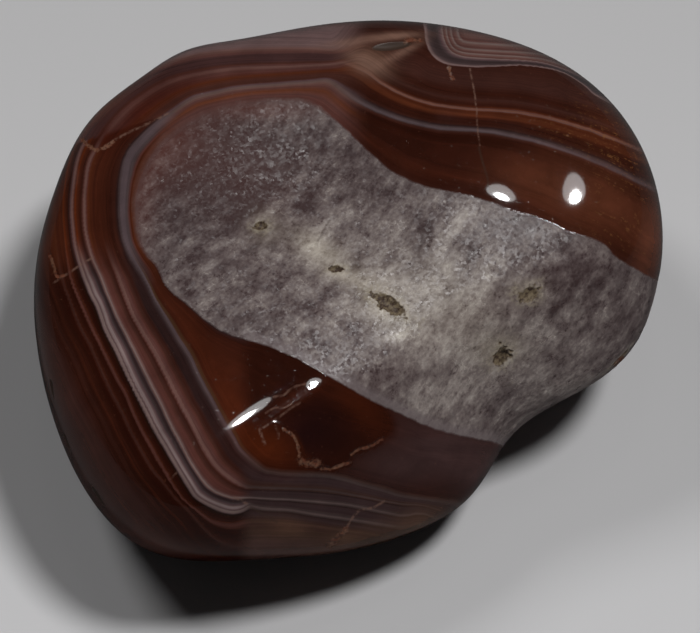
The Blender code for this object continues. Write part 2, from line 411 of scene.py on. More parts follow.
hollow_frames = {}
for hollow_name, ((u, v), _, _, _, turn) in HOLLOWS.items():
    normal = front_normal(u, v)
    along = np.array((math.cos(math.radians(turn)), math.sin(math.radians(turn)), 0.0))
    along = unit(along - normal * (along @ normal))
    hollow_frames[hollow_name] = (front_point(u, v), along, np.cross(normal, along), normal)


def hollow_radius(points, hollow_name):
    """How far points lie from a hollow's middle: 1 on its rim, and far away on the stone's other side."""
    centre, along, across, normal = hollow_frames[hollow_name]
    _, half_length, half_width, _, _ = HOLLOWS[hollow_name]
    offset = points - centre
    radius = np.hypot(offset @ along / half_length, offset @ across / half_width)
    return np.where(np.abs(offset @ normal) < HOLLOW_REACH, radius, FAR_AWAY)


def needs_fine_faces(points):
    """True near a hollow, a crack or the rim of the chip."""
    pixels = seen_at(points)
    front = points[:, 2] > RIM_SLOPE * points[:, 1] - 1.0
    near = np.abs(distance_outside(pixels, CHIP_RIM)) < 1.5 * FINE_STRIP
    for line, half_width in PALE_MARKS + DARK_MARKS + CRUSTS:
        near |= distance_to_line(pixels, line) < half_width * MM_PER_PIXEL + FINE_STRIP
    near &= front
    for hollow_name in HOLLOWS:
        near |= hollow_radius(points, hollow_name) < FINE_MARGIN
    return near


for _ in range(2):
    centres = np.empty(len(pebble.data.polygons) * 3)
    pebble.data.polygons.foreach_get("center", centres)
    bpy.ops.object.mode_set(mode="EDIT")
    bpy.ops.mesh.select_mode(type="FACE")
    bpy.ops.mesh.select_all(action="DESELECT")
    bpy.ops.object.mode_set(mode="OBJECT")
    pebble.data.polygons.foreach_set("select", needs_fine_faces(centres.reshape(-1, 3)))
    bpy.ops.object.mode_set(mode="EDIT")
    bpy.ops.mesh.subdivide(number_cuts=1)
    bpy.ops.object.mode_set(mode="OBJECT")
    directions = unit(read_points(pebble))
    write_points(pebble, directions * worn_radius(directions)[:, None])

# How far each point lies outside the traced lines. Behind the rim the bands close round the heart,
# so a depth behind the rim counts as distance outwards.
CLOSING = 1.5
CLOSING_START = 2.5
FRONT_FADE = (-1.5, 0.5)
points = read_points(pebble)
pixels = seen_at(points)
behind = np.maximum(RIM_SLOPE * points[:, 1] - points[:, 2], 0.0)
closing = CLOSING * behind**2 / (behind + CLOSING_START)
front = ease(*FRONT_FADE, points[:, 2] - RIM_SLOPE * points[:, 1])
outside = {name: distance_outside(pixels, line) + closing for name, line in LEFT_FAMILY.items()}
outside["salmon"] = distance_outside(pixels, SALMON_LINE) + closing
chip_depth = np.where(front > 0.5, -distance_outside(pixels, CHIP_RIM), -9.0)

EYE_BAND_WIDTH = 0.9
eye_depth = -distance_outside(pixels, EYE_EDGE) - closing
beyond_eye_heart = distance_outside(pixels, EYE_HEART) + closing
eye_share = np.clip(eye_depth / (eye_depth + beyond_eye_heart + 1e-6), 0.0, 1.0)
eye_level = np.where(eye_depth > 0.0, eye_share, np.minimum(eye_depth, 0.0))
eye_level += np.maximum(-beyond_eye_heart, 0.0) / EYE_BAND_WIDTH

# Between the heart and the grey line the level stops at GLOW_FROM, and climbs to 1 only close to the line.
GLOW_WIDTH = 2.4
GLOW_FROM = 0.45
OUTER_BAND_WIDTH = 1.24


def band_level(names):
    """0 on the first line, 1 on the next and so on, and mm inside the first."""
    level = np.minimum(outside[names[0]], 0.0)
    for inner, outer in zip(names, names[1:]):
        share = np.clip(outside[inner] / (outside[inner] - outside[outer] + 1e-6), 0.0, 1.0)
        if outer == "grey":
            glow = np.maximum(1.0 + outside[outer] / GLOW_WIDTH, GLOW_FROM)
            share = np.where(outside[outer] < 0.0, np.minimum(share, glow), share)
        level += share
    return level + np.maximum(outside[names[-1]], 0.0) / OUTER_BAND_WIDTH


left_level = band_level(list(LEFT_FAMILY))
right_level = band_level(["heart", "grey", "salmon"])

# The photograph doesn't show the bands beyond the traced ones, so the traced ones come again there.
FOLD_HIGH = 11.0
FOLD_LOW = 4.3
beyond_fold = (left_level - FOLD_HIGH) % (2.0 * (FOLD_HIGH - FOLD_LOW))
folded = FOLD_LOW + np.abs(beyond_fold - (FOLD_HIGH - FOLD_LOW))
left_level = np.where(left_level > FOLD_HIGH, folded, left_level)


def noise_at_points(scale):
    """Smooth noise of about 1 / scale millimetres at every point."""
    return np.array([noise.noise(Vector(point) * scale) for point in points])


broad_noise = noise_at_points(1.3)
fine_noise = noise_at_points(4.0)
wide_noise = noise_at_points(0.25)

# The bands look different on the brow to the right, the crown on top, the shoulder on the upper left and the
# foot below. The foot's colours carry painted shade and a painted reflection of the board, and the crown's
# outer colours a painted sheen. Each fade is the pixels between which a part begins, across or down the
# photograph.
BROW_FADE = (330, 372)
CROWN_FADE = (150, 190)
CROWN_BOTTOM = 200
SHOULDER_FADE = (295, 235)
FOOT_FADE = (235, 255)
# Two sloping lines through a pixel (x, y): one parts the brow from the foot, one ends the crown's left.
BROW_AND_FOOT_LINE = (345, 250, 0.4)
CROWN_LINE = (80, 143, -0.32)
CROWN_EDGE = 1.0
CROWN_EDGE_BEHIND = 26.0
CROWN_EDGE_FADE = (0.0, 1.2)
# Behind the rim all four give way to the flank's bands, along a wandering edge.
FACE_FADE = (2.4, 0.5)
FACE_WANDER = 1.6


def below_line(line):
    """How many pixels below a sloping line each point shows."""
    x, y, slope = line
    return pixels[:, 1] - y - slope * (pixels[:, 0] - x)


crown_edge = CROWN_EDGE + CROWN_EDGE_BEHIND * ease(*CROWN_EDGE_FADE, behind)
left_crown = np.clip(-below_line(CROWN_LINE) / crown_edge, 0.0, 1.0)
main_crown = ease(*CROWN_FADE, pixels[:, 0]) * (pixels[:, 1] < CROWN_BOTTOM)
face_share = ease(*FACE_FADE, behind + FACE_WANDER * wide_noise)
part_shares = {
    "right_share": ease(*BROW_FADE, pixels[:, 0]) * (below_line(BROW_AND_FOOT_LINE) < 0.0),
    "crown_share": np.maximum(left_crown, main_crown),
    "shoulder_share": ease(*SHOULDER_FADE, pixels[:, 1]),
    "foot_share": ease(*FOOT_FADE, pixels[:, 0]) * (below_line(BROW_AND_FOOT_LINE) > 0.0),
}


def nearness(lines):
    """1 on the middle of the nearest mark, and 0 from its half width outwards."""
    nearest = np.zeros(len(points))
    for line, half_width in lines:
        share = 1.0 - distance_to_line(pixels, line) / (half_width * MM_PER_PIXEL)
        nearest = np.maximum(nearest, share * front)
    return nearest


def soft_spots(spots):
    """The sum of soft round or long spots: (x, y, half length, half width, turn, strength) in pixels."""
    total = np.zeros(len(points))
    for x, y, half_length, half_width, turn, strength in spots:
        turn = math.radians(turn)
        offset = pixels - (x, y)
        along = offset @ (math.cos(turn), -math.sin(turn)) / half_length
        aside = offset @ (math.sin(turn), math.cos(turn)) / half_width
        total += strength * np.exp(-(along**2) - aside**2)
    return total * front


# Cut the chip, the hollows and the crusts into the skin, and let the quartz lie a little low.
normals = np.empty(len(pebble.data.vertices) * 3)
pebble.data.vertex_normals.foreach_get("vector", normals)
normals = normals.reshape(-1, 3)
pale_mark = nearness(PALE_MARKS)
dark_mark = nearness(DARK_MARKS)
crust = nearness([(line, 1.25 * half_width) for line, half_width in CRUSTS])

QUARTZ_RECESS = 0.08
BEND_WIDTH = 0.8
QUARTZ_RELIEF = 0.035
QUARTZ_RELIEF_FADE = (0.0, -0.6)
heart = outside["heart"]
sink = QUARTZ_RECESS * (heart <= 0.0)
sink += QUARTZ_RELIEF * (broad_noise + 0.6 * fine_noise) * ease(*QUARTZ_RELIEF_FADE, heart)
sink += QUARTZ_RECESS * np.exp(-np.clip(heart, 0.0, None) / BEND_WIDTH) * (heart > 0.0)

# The chip is deepest and steepest on its left, and shallows out towards the upper right, in pixels.
CHIP_DEPTH = 0.28
CHIP_WALL = 1.5
CHIP_SOFT_WALL = 2.6
CHIP_SOFT_ACROSS = (296, 330)
CHIP_SOFT_DOWN = (455, 430)
CHIP_SHALLOWS_ACROSS = (275, 385)
CHIP_SHALLOWING = 0.7
BROKEN_WIDTH = 0.4
soft_side = ease(*CHIP_SOFT_ACROSS, pixels[:, 0]) * ease(*CHIP_SOFT_DOWN, pixels[:, 1])
wall = CHIP_WALL + (CHIP_SOFT_WALL - CHIP_WALL) * soft_side
chip_inside = ease(0.0, 1.0, np.clip(chip_depth, 0.0, None) / wall)
sink += CHIP_DEPTH * (1.0 - CHIP_SHALLOWING * ease(*CHIP_SHALLOWS_ACROSS, pixels[:, 0])) * chip_inside
broken = np.exp(-((chip_depth / BROKEN_WIDTH) ** 2)) * (1.0 - soft_side) * front

# Silt half fills the hollows, whose edges waver. The slit's edge is straight.
SILTED_SHARE = 0.5
PORE_EDGE = (1.15, 0.85)
PORE_RIM_EDGE = (2.3, 1.2)
pore = np.zeros(len(points))
pore_rim = np.zeros(len(points))
for hollow_name, (_, _, _, depth, _) in HOLLOWS.items():
    wobble = 0.0 if hollow_name == "slit" else 1.0
    radius = hollow_radius(points, hollow_name) * (1.0 + wobble * (0.45 * broad_noise + 0.35 * fine_noise))
    sink += SILTED_SHARE * depth * np.clip(1.0 - radius**2, 0.0, 1.0)
    pore = np.maximum(pore, ease(*PORE_EDGE, radius))
    pore_rim = np.maximum(pore_rim, ease(*PORE_RIM_EDGE, radius))

CRUST_SINK = 0.05
CRUST_ROUGHNESS = 0.12
BROKEN_ROUGHNESS = 0.012
sink += (CRUST_SINK + CRUST_ROUGHNESS * fine_noise) * np.clip(crust, 0.0, 1.0)
sink += BROKEN_ROUGHNESS * (broad_noise + fine_noise) * broken
points = points - normals * sink[:, None]

# Stand the pebble on the ground, cut its small flat, and turn it into metres.
middle = np.array((*MIDDLE_OVER_ORIGIN, FLAT_BELOW_MIDDLE))
write_points(pebble, (points @ FACE_TO_WORLD.T + middle) * MM)

# Where the quartz is milky or clear, where colour gathers, and where light and shade are painted, as soft
# spots.
QUARTZ_TONES_AND_GLINTS = [
    (440, 300, 125, 66, -25, 0.38), (305, 232, 36, 26, 0, 0.28), (279, 199, 30, 9, 50, 0.30),
    (320, 256, 18, 11, -40, 0.40), (342, 275, 14, 5, -15, 0.55), (384, 279, 24, 9, -10, 0.14),
    (378, 312, 16, 13, -40, 0.35), (492, 262, 20, 11, 40, 0.25), (430, 345, 30, 22, 0, 0.15),
    # Three of the quartz spots are painted glints of the lamps: at (458, 222), (395, 337) and (330, 330).
    (458, 222, 26, 9, 55, 0.45), (395, 337, 13, 5, 10, 0.60), (330, 330, 10, 6, 45, 0.35),
    (505, 361, 9, 6, 30, 0.45), (216, 196, 8, 20, 0, 0.22), (210, 130, 10, 8, 0, 0.25),
    (160, 161, 12, 5, -20, 0.30), (268, 128, 12, 7, 0, 0.18), (222, 244, 24, 5, 10, 0.22),
    (590, 345, 40, 26, 20, 0.10), (560, 390, 60, 10, 22, 0.20), (258, 218, 12, 8, 60, 0.25),
    (252, 203, 15, 8, -10, -0.35), (232, 145, 12, 9, 0, -0.25), (252, 172, 5, 14, 0, -0.25),
    (275, 249, 16, 5, -5, -0.25), (312, 207, 20, 8, 25, -0.25), (425, 235, 12, 26, -15, -0.40),
    (470, 254, 12, 16, -20, -0.30), (575, 278, 36, 26, 0, -0.18), (370, 197, 24, 10, 10, -0.20),
    (535, 248, 26, 10, 0, -0.12), (552, 312, 8, 12, 0, -0.25), (610, 330, 40, 26, 0, -0.12),
    (205, 170, 80, 60, 0, -0.34), (250, 175, 55, 45, 0, -0.42), (340, 165, 50, 40, 0, -0.10),
    (440, 400, 60, 22, 25, 0.42),
]
BLUSH = [
    (158, 140, 60, 42, 40, 0.9), (260, 108, 60, 12, 0, 0.7), (140, 210, 16, 50, 0, 0.5),
    (245, 170, 58, 44, 0, 0.30),
]
CREAM = [
    (320, 250, 30, 14, -30, 0.8), (385, 305, 34, 18, -45, 0.8), (498, 350, 26, 16, 0, 0.7),
    (265, 228, 16, 16, 0, 0.5), (345, 276, 20, 8, -15, 0.6), (440, 300, 60, 40, -20, 0.35),
    (528, 290, 16, 10, 0, 0.5),
]
EMBER = [
    (268, 448, 34, 18, -25, 1.0), (232, 405, 14, 34, 25, 0.6), (360, 410, 32, 16, -35, 0.7),
    (300, 398, 26, 8, 35, 0.6), (196, 340, 12, 40, 28, 0.35),
]
# Amber of the stone on the upper right. The thin spots along the upper left rim at (107, 104) and the right
# rim at (652, 240) are painted sheen.
AMBER_AND_RIM_SHEEN = [
    (600, 205, 60, 34, -25, 0.9), (652, 240, 14, 44, -10, 1.2), (620, 130, 34, 12, -30, 0.5),
    (107, 104, 36, 7, 42, 1.0), (520, 178, 40, 22, -10, 0.55), (560, 190, 50, 24, -20, 0.4),
]
FLECKED = [(612, 130, 40, 26, -40, 1.0), (630, 200, 34, 50, 0, 0.9), (580, 140, 40, 14, -20, 0.6)]
STAIN = [
    (290, 529, 22, 10, -10, 0.8), (345, 540, 30, 10, 20, 0.7), (420, 522, 32, 13, 12, 1.0),
    (372, 60, 18, 12, 10, 0.8), (395, 535, 40, 8, 10, 0.5),
]
OXBLOOD = [(140, 111, 42, 12, 42, 1.0), (185, 84, 30, 8, 25, 0.6), (105, 140, 14, 9, 60, 0.7)]
# Pale pink spots on the top edge by the slit: painted sheen.
TOP_EDGE_SHEEN = [
    (368, 63, 22, 11, -25, 1.0), (397, 36, 24, 3.5, 4, 1.0), (352, 42, 30, 4, 8, 0.7),
    (403, 52, 24, 4, 28, 0.7),
]
# Greyish plum spots on the front facet below the quartz: painted reflection of the board.
BOARD_REFLECTION_SPOTS = [(445, 445, 62, 26, -22, 1.0), (400, 468, 40, 18, -5, 0.8), (480, 470, 34, 26, 0, 0.6)]
# The chip's floor is painted near black: painted shade in the hollow.
CHIP_PAINTED_SHADE = [(320, 430, 36, 30, -20, 1.0), (300, 440, 20, 20, 0, 0.4)]


point_values = {
    "left_level": left_level,
    "right_level": right_level,
    "eye_level": eye_level,
    "heart_depth": -heart,
    "pale_mark": pale_mark,
    "dark_mark": dark_mark,
    "crust": crust,
    "broken": broken,
    "pore": pore,
    "pore_rim": pore_rim,
    "quartz_tone_and_glint": soft_spots(QUARTZ_TONES_AND_GLINTS),
    "blush": soft_spots(BLUSH),
    "cream": soft_spots(CREAM),
    "ember": soft_spots(EMBER),
    "amber": soft_spots(AMBER_AND_RIM_SHEEN),
    "flecked": soft_spots(FLECKED),
    "stain": soft_spots(STAIN),
    "oxblood": np.minimum(soft_spots(OXBLOOD), 1.0),
    "top_edge_sheen": np.minimum(soft_spots(TOP_EDGE_SHEEN), 1.0),
    "board_reflection": np.minimum(soft_spots(BOARD_REFLECTION_SPOTS), 1.0) * ease(0.2, -0.8, chip_depth),
    "chip_painted_shade": soft_spots(CHIP_PAINTED_SHADE) * ease(-0.1, 0.3, chip_depth),
}
for part, share in part_shares.items():
    point_values[part] = share * face_share
for name, values in point_values.items():
    layer = pebble.data.attributes.new(name, "FLOAT", "POINT")
    layer.data.foreach_set("value", values.astype(np.float32))

bpy.ops.object.select_all(action="DESELECT")
pebble.select_set(True)
bpy.context.view_layer.objects.active = pebble
bpy.ops.object.mode_set(mode="EDIT")
bpy.ops.mesh.select_all(action="SELECT")
bpy.ops.mesh.bisect(
    plane_co=(0.0, 0.0, 0.0), plane_no=(0.0, 0.0, 1.0), use_fill=True, clear_inner=True, threshold=1e-7
)
bpy.ops.object.mode_set(mode="OBJECT")
bpy.ops.object.shade_smooth_by_angle(angle=math.radians(50.0))

# The stone's colours, as they look under the lamps, from 0 to 255.
PALETTE = {
    "ink": (27, 11, 6),
    "soot": (33, 9, 4),
    "dark brown": (35, 12, 6),
    "umber": (41, 16, 9),
    "bole": (45, 21, 15),
    "red brown": (49, 20, 11),
    "mahogany": (53, 22, 12),
    "fox": (58, 25, 13),
    "ember": (72, 28, 10),
    "rust": (66, 31, 17),
    "amber": (82, 44, 29),
    "ochre": (56, 36, 24),
    "coffee": (50, 27, 22),
    "rose brown": (58, 32, 26),
    "brick": (69, 39, 34),
    "rose": (73, 46, 42),
    "dusty pink": (84, 59, 54),
    "salmon": (94, 61, 50),
    "plum": (35, 21, 20),
    "damson": (40, 27, 27),
    "slate": (47, 36, 36),
    "steel": (58, 46, 46),
    "blue grey": (68, 56, 58),
    "lilac": (71, 53, 54),
    "rose grey": (87, 68, 67),
    "chalk": (98, 82, 78),
    "bone": (110, 95, 93),
    "clay": (80, 62, 58),
    "dark rose": (52, 33, 32),
    "oxblood": (50, 16, 8),
    # Colour of the painted sheen on the top edge.
    "top_edge_sheen": (112, 84, 72),
    # Colour of the painted reflection of the board below the quartz.
    "board_reflection": (56, 38, 37),
    "edge quartz": (98, 88, 88),
    # The dim colours and foot brown are for the foot: band colours with painted shade and a painted
    # reflection of the board.
    "dim umber": (48, 30, 25),
    "dim steel": (54, 42, 40),
    "dim plum": (45, 31, 31),
    "dim ink": (36, 22, 20),
    "foot brown": (64, 44, 39),
    "dim chalk": (72, 58, 56),
    "dim coffee": (56, 38, 30),
    "clear quartz": (54, 42, 42),
    "grey quartz": (78, 67, 66),
    "mid quartz": (100, 90, 87),
    "milky quartz": (130, 121, 116),
    "white quartz": (176, 169, 160),
    "blush": (84, 44, 35),
    "cream": (150, 141, 122),
    "olive": (98, 86, 68),
    "pit": (50, 37, 30),
    # Near black for the chip's floor: painted shade.
    "chip": (25, 8, 7),
    "crust": (92, 62, 46),
    "orange crust": (86, 46, 30),
    "dark crust": (60, 34, 24),
    "pale mark": (96, 72, 62),
    "gold": (104, 68, 38),
    "stain": (80, 56, 42),
}
# How bright a white surface looks under the same lamps, in linear light.
WHITE_UNDER_LAMPS = 0.60


def linear_light(level):
    """A colour value from 0 to 255 as linear light."""
    share = level / 255.0
    return share / 12.92 if level < 10.3 else ((share + 0.055) / 1.055) ** 2.4


def colour(name):
    """A colour of the palette as the surface's own linear colour."""
    return (*(linear_light(level) / WHITE_UNDER_LAMPS for level in PALETTE[name]), 1.0)


def add_node(tree, kind, sockets=None, **settings):
    """Add a node, set its properties, and link or set its inputs."""
    made = tree.nodes.new(kind)
    for name, value in settings.items():
        setattr(made, name, value)
    for socket, value in (sockets or {}).items():
        if isinstance(value, bpy.types.NodeSocket):
            tree.links.new(value, made.inputs[socket])
        else:
            made.inputs[socket].default_value = value
    return made


def calculate(tree, operation, *values):
    return add_node(tree, "ShaderNodeMath", dict(enumerate(values)), operation=operation).outputs[0]


def mix_colours(tree, share, first, second):
    return add_node(tree, "ShaderNodeMix", {0: share, 6: first, 7: second}, data_type="RGBA").outputs[2]


def mix_values(tree, share, first, second):
    return add_node(tree, "ShaderNodeMix", {0: share, 2: first, 3: second}).outputs[0]


def rescale(tree, value, low, high, new_low=0.0, new_high=1.0):
    sockets = {0: value, 1: low, 2: high, 3: new_low, 4: new_high}
    return add_node(tree, "ShaderNodeMapRange", sockets).outputs[0]


def combine_vectors(tree, operation, *vectors):
    return add_node(tree, "ShaderNodeVectorMath", dict(enumerate(vectors)), operation=operation).outputs[0]


def scale_vector(tree, vector, amount):
    return add_node(tree, "ShaderNodeVectorMath", {0: vector, 3: amount}, operation="SCALE").outputs[0]


STOPS_IN_A_RAMP = 29


def ramp(tree, value, stops):
    """The colour at a value, from (value, palette name) stops that are shared out over several ramps."""
    result = None
    for first in range(0, len(stops) - 1, STOPS_IN_A_RAMP):
        part = stops[first:first + STOPS_IN_A_RAMP + 1]
        low, high = part[0][0], part[-1][0]
        made = add_node(tree, "ShaderNodeValToRGB", {0: rescale(tree, value, low, high)})
        bar = made.color_ramp.elements
        while len(bar) < len(part):
            bar.new(0.5)
        for element, (stop, name) in zip(bar, part):
            element.position = (stop - low) / (high - low)
            element.color = colour(name)
        piece = made.outputs[0]
        if result is not None:
            piece = mix_colours(tree, rescale(tree, value, low - 0.001, low + 0.001), result, piece)
        result = piece
    return result


def attribute(tree, name):
    return add_node(tree, "ShaderNodeAttribute", attribute_name=name).outputs["Fac"]


def noise_value(tree, place, scale, detail=3.0, roughness=0.5):
    sockets = {"Vector": place, "Scale": scale, "Detail": detail, "Roughness": roughness}
    return add_node(tree, "ShaderNodeTexNoise", sockets).outputs["Fac"]


def cell_colour(tree, place, scale):
    """A random colour for each grain of a broken pattern."""
    return add_node(tree, "ShaderNodeTexVoronoi", {"Vector": place, "Scale": scale}).outputs["Color"]


agate = bpy.data.materials.new("banded_agate")
agate.use_nodes = True
tree = agate.node_tree
shader = tree.nodes["Principled BSDF"]

# Object coordinates in millimetres, turned to lie along the face, and noise that makes the bands waver.
place_metres = add_node(tree, "ShaderNodeTexCoord").outputs["Object"]
turned = add_node(
    tree, "ShaderNodeVectorRotate", {"Vector": place_metres, "Angle": -LEAN}, rotation_type="X_AXIS"
).outputs[0]
place = scale_vector(tree, turned, 1000.0)
WAVER = 0.10
waver = calculate(tree, "SUBTRACT", noise_value(tree, place, 0.5, 4.0), 0.5)
waver = calculate(tree, "MULTIPLY", waver, WAVER)
left = calculate(tree, "ADD", attribute(tree, "left_level"), waver)
right = calculate(tree, "ADD", attribute(tree, "right_level"), waver)

FLANK = [
    (0.0, "plum"), (0.1, "umber"), (0.3, "red brown"), (0.6, "mahogany"), (0.78, "red brown"),
    (0.85, "ochre"), (0.91, "ochre"), (0.96, "blue grey"), (1.01, "blue grey"), (1.05, "steel"),
    (1.09, "slate"), (1.14, "damson"), (1.2, "plum"), (1.42, "plum"), (1.55, "bole"), (1.62, "coffee"),
    (1.69, "rose brown"), (1.76, "brick"), (1.84, "rose"), (1.9, "rose"), (1.93, "dusty pink"),
    (2.02, "dusty pink"), (2.08, "rose"), (2.13, "rose brown"), (2.19, "bole"), (2.3, "coffee"),
    (2.42, "rose brown"), (2.54, "brick"), (2.7, "brick"), (2.84, "rose"), (2.9, "dusty pink"),
    (2.95, "rose grey"), (2.99, "chalk"), (3.03, "chalk"), (3.08, "dusty pink"), (3.14, "steel"),
    (3.2, "damson"), (3.28, "damson"), (3.35, "slate"), (3.42, "steel"), (3.52, "lilac"),
    (3.6, "rose grey"), (3.68, "bone"), (3.76, "bone"), (3.84, "rose grey"), (3.9, "lilac"),
    (3.97, "chalk"), (4.06, "chalk"),
    (4.13, "rose grey"), (4.19, "slate"), (4.26, "ink"), (4.36, "ink"), (4.5, "soot"), (4.62, "dark brown"),
    (4.74, "umber"), (4.84, "mahogany"), (4.92, "rose brown"), (4.99, "brick"), (5.06, "brick"),
    (5.14, "rose brown"), (5.23, "umber"), (5.34, "soot"), (5.56, "dark brown"), (5.8, "umber"),
    (5.9, "red brown"), (5.98, "coffee"), (6.07, "coffee"), (6.18, "umber"), (6.3, "soot"),
    (6.6, "dark brown"), (6.85, "umber"), (6.95, "red brown"), (7.05, "umber"), (7.15, "dark brown"),
    (7.45, "bole"), (7.7, "umber"), (8.2, "coffee"), (9.0, "rose brown"), (10.0, "coffee"),
    (11.0, "rose brown"), (12.0, "coffee"),
]
SHOULDER = [
    (0.0, "brick"), (0.1, "rust"), (0.25, "rust"), (0.4, "fox"), (0.48, "brick"), (0.62, "steel"),
    (0.8, "blue grey"), (1.0, "blue grey"), (1.07, "blue grey"), (1.14, "steel"), (1.19, "slate"),
    (1.24, "plum"), (1.35, "bole"), (1.6, "umber"), (1.9, "red brown"), (2.3, "mahogany"), (2.5, "red brown"),
    (2.66, "fox"), (2.8, "rust"), (2.88, "brick"), (2.95, "dusty pink"), (3.03, "dusty pink"),
    (3.1, "rose"), (3.17, "rose brown"), (3.24, "bole"), (3.34, "umber"), (3.45, "red brown"),
    (3.6, "fox"), (3.7, "ember"), (3.8, "rust"), (3.88, "rose"), (3.97, "dusty pink"), (4.05, "dusty pink"),
    (4.14, "lilac"), (4.24, "rose brown"), (4.34, "plum"), (4.48, "umber"), (4.66, "red brown"),
    (4.8, "fox"), (4.95, "ember"), (5.06, "rust"), (5.2, "mahogany"), (5.5, "fox"), (5.9, "mahogany"),
    (6.1, "rust"), (6.4, "fox"), (8.0, "rust"),
]
# The crown's rose grey stops from 5.5 to 7.0 are a painted sheen over the bands.
CROWN = [
    (0.0, "brick"), (0.35, "rose"), (0.6, "amber"), (0.78, "rose"), (0.88, "dusty pink"), (0.95, "clay"),
    (1.03, "clay"), (1.15, "lilac"), (1.28, "rose brown"), (1.6, "rose brown"), (2.0, "rust"), (2.3, "brick"),
    (2.6, "rose"), (2.85, "dusty pink"), (3.0, "rose"), (3.2, "rose brown"), (3.45, "dark rose"),
    (4.2, "dark rose"), (4.6, "rose"), (5.0, "dusty pink"), (5.5, "rose grey"), (7.0, "rose grey"),
    (7.4, "rose"), (7.8, "brick"), (8.3, "rose brown"), (8.9, "rose"), (9.4, "rose brown"), (11.0, "coffee"),
]
BROW = [
    (0.0, "bole"), (0.08, "umber"), (0.25, "red brown"), (0.4, "umber"), (0.6, "dark brown"),
    (0.82, "dark brown"), (0.88, "bole"), (0.93, "coffee"), (0.96, "steel"), (0.99, "blue grey"),
    (1.03, "blue grey"), (1.08, "steel"), (1.12, "slate"), (1.17, "plum"), (1.24, "bole"), (1.34, "umber"),
    (1.5, "umber"), (1.58, "red brown"), (1.66, "rust"), (1.75, "rust"), (1.84, "fox"), (1.9, "rust"),
    (1.94, "dusty pink"), (1.98, "salmon"), (2.02, "salmon"), (2.06, "rose"), (2.1, "rust"),
    (2.16, "red brown"), (2.25, "umber"), (2.45, "bole"), (2.62, "coffee"), (2.75, "bole"),
    (3.0, "umber"), (3.3, "bole"), (3.6, "coffee"), (4.0, "coffee"), (5.0, "bole"), (8.0, "umber"),
]
# The foot's colours are the band colours dimmed and greyed: painted shade with a painted reflection of the
# board.
FOOT = [
    (0.0, "dark brown"), (0.8, "dark brown"), (0.88, "dim umber"), (0.97, "dim steel"), (1.04, "dim steel"),
    (1.14, "dim plum"), (1.5, "dim plum"), (1.8, "dim umber"), (1.95, "dim steel"), (2.05, "dim umber"),
    (2.15, "dim ink"), (2.3, "dim plum"), (2.7, "dim plum"), (2.88, "dim steel"), (2.96, "dim chalk"),
    (3.02, "dim chalk"), (3.1, "dim steel"), (3.2, "dim ink"), (3.35, "dim plum"), (3.7, "dim plum"),
    (3.88, "dim steel"), (3.96, "dim chalk"), (4.04, "dim chalk"), (4.14, "dim steel"), (4.25, "dim ink"),
    (4.5, "dim plum"), (4.85, "dim umber"), (4.95, "dim coffee"), (5.03, "dim coffee"), (5.12, "dim umber"),
    (5.45, "dim coffee"), (5.9, "foot brown"), (6.3, "foot brown"), (8.0, "foot brown"),
]
EYE = [
    (-0.12, "bole"), (-0.06, "rose brown"), (-0.02, "rose grey"), (0.03, "chalk"), (0.1, "rose grey"),
    (0.2, "steel"), (0.4, "slate"), (0.62, "slate"), (0.75, "steel"), (0.85, "lilac"), (0.95, "rose grey"),
    (1.03, "chalk"), (1.1, "rose"), (1.25, "dusty pink"), (1.38, "chalk"), (1.48, "rose"),
    (1.65, "dusty pink"), (1.8, "chalk"), (1.92, "rose"), (2.2, "dusty pink"), (2.4, "chalk"),
    (2.55, "rose"), (3.0, "dusty pink"), (3.6, "rose"), (6.0, "dusty pink"),
]
chalcedony = ramp(tree, left, FLANK)
for part, level, stops in (
    ("shoulder_share", left, SHOULDER), ("crown_share", left, CROWN), ("foot_share", left, FOOT),
    ("right_share", right, BROW),
):
    chalcedony = mix_colours(tree, attribute(tree, part), chalcedony, ramp(tree, level, stops))
eye = attribute(tree, "eye_level")
chalcedony = mix_colours(tree, rescale(tree, eye, -0.11, -0.05), chalcedony, ramp(tree, eye, EYE))


def tint(tree, base, attribute_name, name, strength):
    share = calculate(tree, "MULTIPLY", attribute(tree, attribute_name), strength)
    return mix_colours(tree, share, base, colour(name))


# Each tint: the attribute that holds its spots, its colour in the palette and its strength. Some tints paint
# light: sheen on the rims and the top edge, the board's reflection below the quartz and shade in the chip.
TINTS = [
    ("amber", "amber", 0.6), ("ember", "ember", 0.6), ("stain", "stain", 0.6), ("oxblood", "oxblood", 0.85),
    ("top_edge_sheen", "top_edge_sheen", 0.8), ("board_reflection", "board_reflection", 0.85), ("chip_painted_shade", "chip", 0.85),
]
for attribute_name, colour_name, strength in TINTS:
    chalcedony = tint(tree, chalcedony, attribute_name, colour_name, strength)

# Hair-fine bands run along the broad ones, and clouds lie across them.
across_bands = mix_values(tree, attribute(tree, "right_share"), left, right)
slow_place = scale_vector(tree, place, 0.12)
fine_steps = calculate(tree, "MULTIPLY", across_bands, 9.0)
fine_place = add_node(tree, "ShaderNodeCombineXYZ", {0: fine_steps}).outputs[0]
fine_place = combine_vectors(tree, "ADD", fine_place, slow_place)
fine_bands = rescale(tree, noise_value(tree, fine_place, 1.0, 4.0, 0.75), 0.32, 0.68, 0.80, 1.22)
cloud = rescale(tree, noise_value(tree, place, 0.3, 5.0, 0.6), 0.3, 0.7, 0.84, 1.18)
chalcedony = scale_vector(tree, chalcedony, calculate(tree, "MULTIPLY", fine_bands, cloud))
fleck_noise = noise_value(tree, fine_place, 2.2, 3.0, 0.8)
speck_noise = noise_value(tree, place, 2.4, 4.0, 0.7)
flecks = rescale(tree, fleck_noise, 0.5, 0.6)
specks = rescale(tree, speck_noise, 0.52, 0.66)
fleck = calculate(tree, "MULTIPLY", calculate(tree, "MULTIPLY", flecks, specks), attribute(tree, "flecked"))
chalcedony = mix_colours(tree, fleck, chalcedony, colour("gold"))

